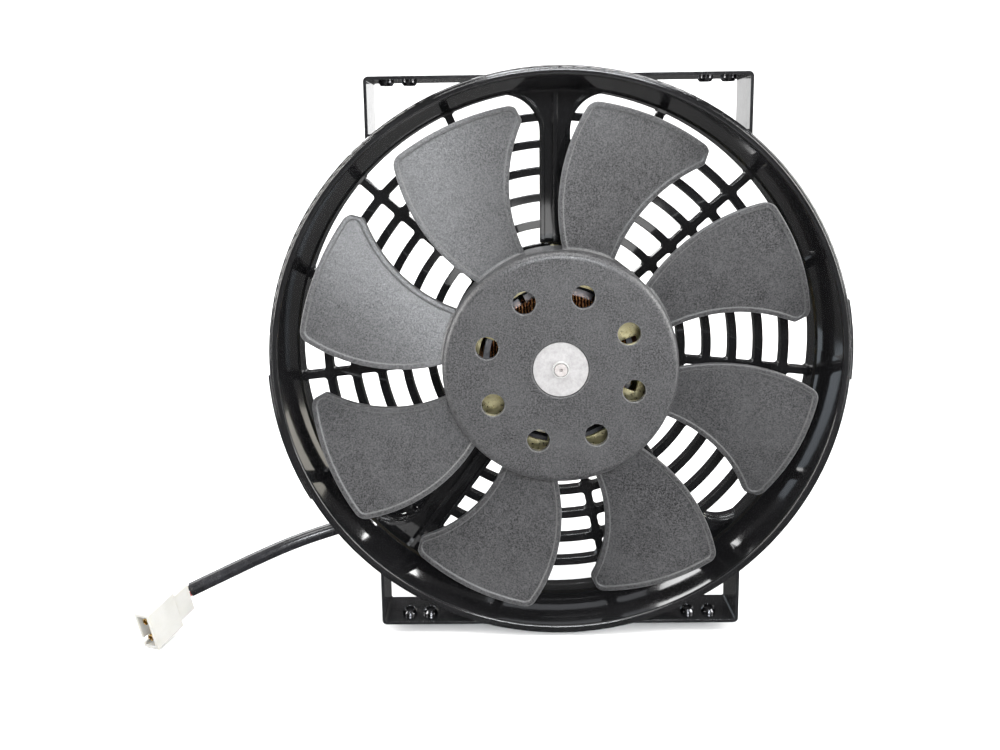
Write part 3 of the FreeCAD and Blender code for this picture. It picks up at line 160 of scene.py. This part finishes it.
class Surface:
    """A procedural material built round one Principled shader."""

    def __init__(self, name, **constants):
        self.material = bpy.data.materials.new(name)
        self.material.use_nodes = True
        self.tree = self.material.node_tree
        self.shader = self.tree.nodes["Principled BSDF"]
        self.place = self.tree.nodes.new("ShaderNodeTexCoord").outputs["Object"]
        self.edge_normal = None
        for socket, value in constants.items():
            self.shader.inputs[socket.replace("_", " ")].default_value = value

    def link(self, start, end):
        self.tree.links.new(start, end)

    def noise(self, scale, detail=4.0, roughness=0.55):
        """Noise over the object's own coordinates, in features per metre."""
        texture = self.tree.nodes.new("ShaderNodeTexNoise")
        texture.inputs["Scale"].default_value = scale
        texture.inputs["Detail"].default_value = detail
        texture.inputs["Roughness"].default_value = roughness
        self.link(self.place, texture.inputs["Vector"])
        return texture.outputs["Fac"]

    def rounded(self, radius):
        """Normals that turn smoothly over every edge, as on a moulded or worn one."""
        node = self.tree.nodes.new("ShaderNodeBevel")
        node.samples = BEVEL_SAMPLES
        node.inputs["Radius"].default_value = radius * MM
        self.edge_normal = node.outputs["Normal"]
        self.link(self.edge_normal, self.shader.inputs["Normal"])

    def edges(self, low=0.995, high=0.8):
        """Mask that rises from the flat faces towards the rounded edges."""
        flat = self.tree.nodes.new("ShaderNodeNewGeometry").outputs["Normal"]
        dot = self.tree.nodes.new("ShaderNodeVectorMath")
        dot.operation = "DOT_PRODUCT"
        self.link(self.edge_normal, dot.inputs[0])
        self.link(flat, dot.inputs[1])
        return self.spread(dot.outputs["Value"], 0.0, 1.0, low, high)

    def wear_and_painted_highlight(self, mask, colour, amount):
        """Tint the base colour where a mask is high: dust, scuffs and wear, and on the impeller
        also a painted highlight along the edges.
        """
        base = self.shader.inputs["Base Color"].links[0].from_socket
        mix = self.tree.nodes.new("ShaderNodeMix")
        mix.data_type = "RGBA"
        mix.inputs[MIX_SECOND].default_value = (*colour, 1)
        self.link(base, mix.inputs[MIX_FIRST])
        self.link(self.spread(mask, 0.0, amount, 0.0, 1.0), mix.inputs[MIX_FACTOR])
        self.link(mix.outputs[MIX_RESULT], self.shader.inputs["Base Color"])

    def waves(self, scale, axis, distortion, rings=False):
        """Parallel waves along an axis, or rings round it."""
        texture = self.tree.nodes.new("ShaderNodeTexWave")
        texture.wave_type = "RINGS" if rings else "BANDS"
        texture.rings_direction = texture.bands_direction = axis
        texture.inputs["Scale"].default_value = scale
        texture.inputs["Distortion"].default_value = distortion
        texture.inputs["Detail Scale"].default_value = 2.0
        self.link(self.place, texture.inputs["Vector"])
        return texture.outputs["Fac"]

    def spread(self, factor, low, high, start=0.3, end=0.7):
        """Map a texture onto a range of numbers."""
        node = self.tree.nodes.new("ShaderNodeMapRange")
        node.inputs["From Min"].default_value = start
        node.inputs["From Max"].default_value = end
        node.inputs["To Min"].default_value = low
        node.inputs["To Max"].default_value = high
        self.link(factor, node.inputs["Value"])
        return node.outputs["Result"]

    def colours(self, factor, low, high, start=0.3, end=0.7):
        """Blend two colours by a texture into the base colour."""
        ramp = self.tree.nodes.new("ShaderNodeValToRGB")
        ramp.color_ramp.elements[0].position = start
        ramp.color_ramp.elements[1].position = end
        ramp.color_ramp.elements[0].color = (*low, 1)
        ramp.color_ramp.elements[1].color = (*high, 1)
        self.link(factor, ramp.inputs["Fac"])
        self.link(ramp.outputs["Color"], self.shader.inputs["Base Color"])

    def rough(self, factor, low, high):
        """Vary the roughness by a texture."""
        self.link(self.spread(factor, low, high), self.shader.inputs["Roughness"])

    def bump(self, *layers):
        """Stack height textures, each with its depth in millimetres."""
        normal = self.edge_normal
        for factor, depth in layers:
            node = self.tree.nodes.new("ShaderNodeBump")
            node.inputs["Strength"].default_value = 1.0
            node.inputs["Distance"].default_value = depth * MM
            self.link(factor, node.inputs["Height"])
            if normal is not None:
                self.link(normal, node.inputs["Normal"])
            normal = node.outputs["Normal"]
        self.link(normal, self.shader.inputs["Normal"])


def shroud_plastic():
    """Glossy black moulding with faint flow waviness, dust and rounded edges."""
    surface = Surface(
        "shroud_plastic", Specular_IOR_Level=0.6, Coat_Weight=0.6, Coat_Roughness=0.04
    )
    surface.rounded(0.8)
    surface.colours(surface.noise(38.0, 8.0, 0.7), (0.003, 0.003, 0.0035), (0.008, 0.008, 0.009))
    surface.wear_and_painted_highlight(surface.noise(2200.0, 2.0, 0.8), (0.12, 0.12, 0.11), 0.05)
    surface.rough(surface.noise(55.0, 6.0, 0.65), 0.06, 0.12)
    surface.bump((surface.noise(45.0, 2.0), 0.05))
    return surface.material


def impeller_plastic():
    """Charcoal glass-filled plastic: fine spark-eroded grain, scuffs, and paler edges that are
    partly wear and partly a painted highlight.
    """
    surface = Surface("impeller_plastic", Specular_IOR_Level=0.55)
    surface.rounded(1.1)
    grain = surface.noise(1250.0, 3.0, 0.8)
    surface.colours(grain, (0.004, 0.004, 0.005), (0.083, 0.082, 0.084), 0.38, 0.64)
    scuffs = surface.spread(surface.noise(45.0, 9.0, 0.75), 0.0, 1.0, 0.42, 0.66)
    surface.wear_and_painted_highlight(scuffs, (0.070, 0.070, 0.072), 0.45)
    # Paler edges: partly wear, partly a painted highlight where the rounded edges catch the light.
    surface.wear_and_painted_highlight(surface.edges(0.999, 0.85), (0.18, 0.18, 0.18), 0.45)
    surface.rough(surface.noise(900.0, 3.0), 0.30, 0.46)
    surface.bump((grain, 0.07), (surface.noise(70.0, 4.0), 0.12))
    return surface.material


def bracket_paint():
    """Gloss black coating on strip steel, with orange peel and light scuffs."""
    surface = Surface("bracket_paint", Specular_IOR_Level=0.6, Coat_Weight=0.7, Coat_Roughness=0.05)
    surface.rounded(0.35)
    surface.colours(surface.noise(70.0, 8.0, 0.7), (0.005, 0.005, 0.006), (0.014, 0.014, 0.015))
    surface.wear_and_painted_highlight(surface.edges(), (0.10, 0.10, 0.10), 0.25)
    surface.rough(surface.noise(240.0, 6.0, 0.7), 0.10, 0.22)
    surface.bump((surface.noise(130.0, 3.0), 0.04), (surface.noise(700.0, 2.0), 0.006))
    return surface.material


def black_steel():
    """Blackened fasteners, with lighter and darker patches at random."""
    surface = Surface("black_steel", Metallic=1.0)
    surface.rounded(0.5)
    surface.colours(surface.noise(500.0, 6.0, 0.7), (0.10, 0.10, 0.11), (0.32, 0.32, 0.33))
    surface.rough(surface.noise(800.0, 4.0), 0.10, 0.24)
    surface.bump((surface.noise(900.0), 0.01))
    return surface.material


def metal(name, low, high, roughness, grain):
    """Plated or bare metal with drawn or turned marks."""
    surface = Surface(name, Metallic=1.0)
    surface.rounded(0.25)
    surface.colours(surface.noise(150.0, 7.0, 0.7), low, high)
    surface.rough(surface.noise(600.0, 4.0), *roughness)
    marks = surface.waves(grain, "Y", 1.5, rings=True)
    surface.bump((marks, 0.02), (surface.noise(1200.0), 0.01))
    return surface.material


def cast_disc(name, low, high):
    """Pale plated metal with faint stains, darker towards its edges."""
    surface = Surface(name, Metallic=0.3)
    surface.rounded(0.25)
    surface.colours(surface.noise(260.0, 9.0, 0.8), low, high)
    surface.wear_and_painted_highlight(surface.edges(), (0.16, 0.13, 0.12), 0.5)
    surface.rough(surface.noise(500.0, 4.0), 0.3, 0.46)
    surface.bump((surface.noise(900.0, 3.0), 0.006))
    return surface.material


def copper_wire():
    """Enamelled wire wound in close turns, with painted shade in the gaps between them."""
    surface = Surface("copper", Metallic=1.0)
    turns = surface.waves(210.0, "X", 3.0)
    # The dark end of the ramp is painted shade in the gaps between the turns.
    surface.colours(turns, (0.05, 0.016, 0.008), (0.90, 0.44, 0.20), 0.2, 0.6)
    surface.rough(surface.noise(400.0), 0.2, 0.36)
    surface.bump((turns, 0.4), (surface.noise(900.0), 0.03))
    return surface.material


def plastic(name, low, high, roughness, scale=300.0, depth=0.03, **constants):
    """Plastic, rubber, pressed powder, laminate or paper with a mottled surface."""
    surface = Surface(name, **constants)
    surface.rounded(0.3)
    surface.colours(surface.noise(scale / 4, 7.0, 0.7), low, high)
    surface.rough(surface.noise(scale, 5.0), *roughness)
    surface.bump((surface.noise(scale * 3, 3.0), depth), (surface.noise(scale / 3, 3.0), depth))
    return surface.material


def cable_plastic():
    """Satin extruded sheath, with faint dust and a slight unevenness along it."""
    surface = Surface("cable_sheath", Specular_IOR_Level=0.6)
    surface.colours(surface.noise(90.0, 8.0, 0.7), (0.008, 0.008, 0.009), (0.018, 0.018, 0.021))
    surface.rough(surface.noise(300.0, 5.0), 0.2, 0.3)
    surface.bump((surface.noise(900.0, 3.0), 0.004))
    return surface.material


MATERIALS = {
    "shroud_plastic": shroud_plastic(),
    "impeller_plastic": impeller_plastic(),
    "bracket_paint": bracket_paint(),
    "black_steel": black_steel(),
    "zinc_steel": metal("zinc_steel", (0.58, 0.50, 0.24), (0.86, 0.80, 0.52), (0.24, 0.4), 500.0),
    "bright_steel": metal(
        "bright_steel", (0.50, 0.50, 0.51), (0.72, 0.72, 0.73), (0.18, 0.34), 900.0
    ),
    "hub_insert": cast_disc("hub_insert", (0.29, 0.28, 0.28), (0.48, 0.47, 0.47)),
    "shaft_retainer": cast_disc("shaft_retainer", (0.42, 0.42, 0.41), (0.58, 0.58, 0.57)),
    "motor_shaft": cast_disc("motor_shaft", (0.36, 0.32, 0.31), (0.52, 0.50, 0.49)),
    "sintered_bronze": metal(
        "sintered_bronze", (0.36, 0.22, 0.1), (0.5, 0.34, 0.17), (0.4, 0.6), 400.0
    ),
    "lamination": metal("lamination", (0.26, 0.26, 0.28), (0.44, 0.44, 0.46), (0.3, 0.5), 700.0),
    "terminal_brass": metal(
        "terminal_brass", (0.80, 0.48, 0.14), (0.95, 0.66, 0.26), (0.2, 0.36), 800.0
    ),
    "copper": copper_wire(),
    "ferrite": plastic("ferrite", (0.03, 0.03, 0.034), (0.07, 0.07, 0.075), (0.5, 0.7)),
    "card_phenolic": plastic("card_phenolic", (0.20, 0.09, 0.04), (0.32, 0.16, 0.08), (0.45, 0.6)),
    "carbon": plastic("carbon", (0.03, 0.03, 0.03), (0.08, 0.08, 0.08), (0.5, 0.65)),
    "red_insulation": plastic(
        "red_insulation", (0.42, 0.02, 0.02), (0.62, 0.04, 0.03), (0.3, 0.42)
    ),
    "cable_sheath": cable_plastic(),
    "boot_rubber": plastic("boot_rubber", (0.02, 0.02, 0.02), (0.045, 0.045, 0.045), (0.55, 0.75)),
    "clip_plastic": plastic(
        "clip_plastic", (0.016, 0.016, 0.017), (0.03, 0.03, 0.032), (0.35, 0.5)
    ),
    "connector_nylon": plastic(
        "connector_nylon",
        (0.35, 0.345, 0.325),
        (0.42, 0.415, 0.40),
        (0.32, 0.46),
        180.0,
        0.02,
        Subsurface_Weight=0.35,
        Subsurface_Radius=(0.004, 0.0035, 0.0025),
        Subsurface_Scale=0.6,
    ),
}


def dress_nodes():
    """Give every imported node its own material, or the one of its slot if it has none."""
    for entry in frame["record"]["subparts"]:
        mesh = nodes[entry["node"]].data
        mesh.materials.clear()
        mesh.materials.append(MATERIALS.get(entry["node"], MATERIALS[entry["material_slot"]]))


dress_nodes()
cable.data.materials.append(MATERIALS["cable_sheath"])


# ---------------------------------------------------------------------------------------------
# Floor, backdrop and lights
# ---------------------------------------------------------------------------------------------


# Metres, in the part's frame.
FLOOR_GAP = 0.0005
FLOOR_FRONT, FLOOR_BACK, FLOOR_HALF_WIDTH = -1.6, 1.6, 2.4
CURVE_RADIUS = 0.7
BACKDROP_HEIGHT = 4.0

CURVE_STEPS = 24


def make_backdrop():
    """Pale floor that curves up behind the object."""
    floor = cad_box[0][2] - FLOOR_GAP
    wall = FLOOR_BACK + CURVE_RADIUS
    profile = [(FLOOR_FRONT, floor)]
    for step in range(CURVE_STEPS + 1):
        turn = math.radians(90.0 * step / CURVE_STEPS)
        along, rise = CURVE_RADIUS * math.sin(turn), CURVE_RADIUS * (1 - math.cos(turn))
        profile.append((FLOOR_BACK + along, floor + rise))
    profile.append((wall, floor + BACKDROP_HEIGHT))
    verts = [(x, y, z) for y, z in profile for x in (-FLOOR_HALF_WIDTH, FLOOR_HALF_WIDTH)]
    faces = [(2 * i, 2 * i + 1, 2 * i + 3, 2 * i + 2) for i in range(len(profile) - 1)]
    mesh = bpy.data.meshes.new("backdrop")
    mesh.from_pydata(verts, [], faces)
    mesh.shade_smooth()
    backdrop = bpy.data.objects.new("backdrop", mesh)
    scene.collection.objects.link(backdrop)
    paper = plastic("paper", (0.86, 0.86, 0.86), (0.89, 0.89, 0.89), (0.7, 0.9), 30.0, 0.02)
    mesh.materials.append(paper)
    backdrop.visible_glossy = False


def add_light(name, place, aim, size, power, colour):
    """A rectangular soft light aimed at a point."""
    data = bpy.data.lights.new(name, "AREA")
    data.shape = "RECTANGLE"
    data.size, data.size_y = size
    data.energy = power
    data.color = colour
    light = bpy.data.objects.new(name, data)
    light.location = place
    light.rotation_euler = (Vector(aim) - Vector(place)).to_track_quat("-Z", "Y").to_euler()
    light.visible_camera = False
    scene.collection.objects.link(light)


WHITE = (1.0, 1.0, 1.0)

# Each light's name, its place, aim and size in metres, its power in watts and its colour.
LIGHTS = [
    # The studio's soft boxes.
    ("box_right", (1.1, -0.5, 0.45), (0, 0, 0.02), (0.8, 1.0), 18.0, (1.0, 0.99, 0.97)),
    ("box_left", (-1.1, -0.35, 0.35), (0, 0, 0), (0.6, 0.9), 12.0, (1.0, 0.98, 0.95)),
    ("overhead", (0.0, -0.35, 1.2), (0, 0, 0), (1.2, 0.5), 16.0, WHITE),
    # Sheen on the upper left blades, and a little on the hub.
    ("front_sheen", (0.11, -1.08, 0.5), (0, 0, 0), (0.46, 0.26), 12.5, (0.94, 0.97, 1.0)),
    ("front_low", (0.06, -1.1, -0.1), (0, 0, 0), (0.4, 0.2), 0.6, WHITE),
    # The guard's rear and the backdrop.
    ("rear_fill", (-0.9, 0.9, 0.9), (0, 0, 0), (0.9, 0.6), 12.0, WHITE),
    ("backdrop_wash", (0.0, 1.0, 1.4), (0.0, 1.9, 0.2), (3.0, 0.8), 60.0, WHITE),
    # Lines along the lip's two sides.
    ("strip_left", (-0.9, -0.16, 0.05), (0, -0.03, 0), (0.14, 0.9), 3.0, WHITE),
    ("strip_right", (0.9, -0.16, 0.05), (0, -0.03, 0), (0.14, 0.9), 3.0, WHITE),
    # Weak cards behind the fan, which the ring's glossy inner wall and the brackets reflect.
    ("card_below", (0.02, 0.7, 0.62), (0, 0, -0.12), (0.55, 0.2), 0.18, (0.9, 0.94, 1.0)),
    ("card_left", (0.47, 0.7, -0.07), (-0.12, 0, -0.03), (0.12, 0.2), 0.12, (1.0, 0.95, 0.84)),
    ("card_right", (-0.5, 0.7, -0.05), (0.12, 0, -0.02), (0.3, 0.44), 0.28, (0.8, 0.9, 1.0)),
    ("card_strut", (0.5, 0.7, 0.3), (-0.1, 0, -0.1), (0.06, 0.2), 0.5, WHITE),
    ("card_legs", (-0.05, 0.7, 0.16), (0, 0, 0.13), (0.34, 0.09), 0.15, WHITE),
]
AMBIENT_STRENGTH = 0.08
STUDIO_STRENGTH = 1.0


def make_world():
    """Weak ambient light on the object, and a plain white studio beyond the backdrop's edges."""
    world = bpy.data.worlds.new("world")
    scene.world = world
    world.use_nodes = True
    tree = world.node_tree
    ambient = tree.nodes["Background"]
    studio = tree.nodes.new("ShaderNodeBackground")
    for background, strength in ((ambient, AMBIENT_STRENGTH), (studio, STUDIO_STRENGTH)):
        background.inputs["Color"].default_value = (*WHITE, 1)
        background.inputs["Strength"].default_value = strength
    seen = tree.nodes.new("ShaderNodeLightPath")
    blend = tree.nodes.new("ShaderNodeMixShader")
    links = (
        (seen.outputs["Is Camera Ray"], blend.inputs["Fac"]),
        (ambient.outputs["Background"], blend.inputs[1]),
        (studio.outputs["Background"], blend.inputs[2]),
        (blend.outputs["Shader"], tree.nodes["World Output"].inputs["Surface"]),
    )
    for start, end in links:
        tree.links.new(start, end)


make_backdrop()
for light in LIGHTS:
    add_light(*light)
make_world()
scene.view_settings.view_transform = "Standard"
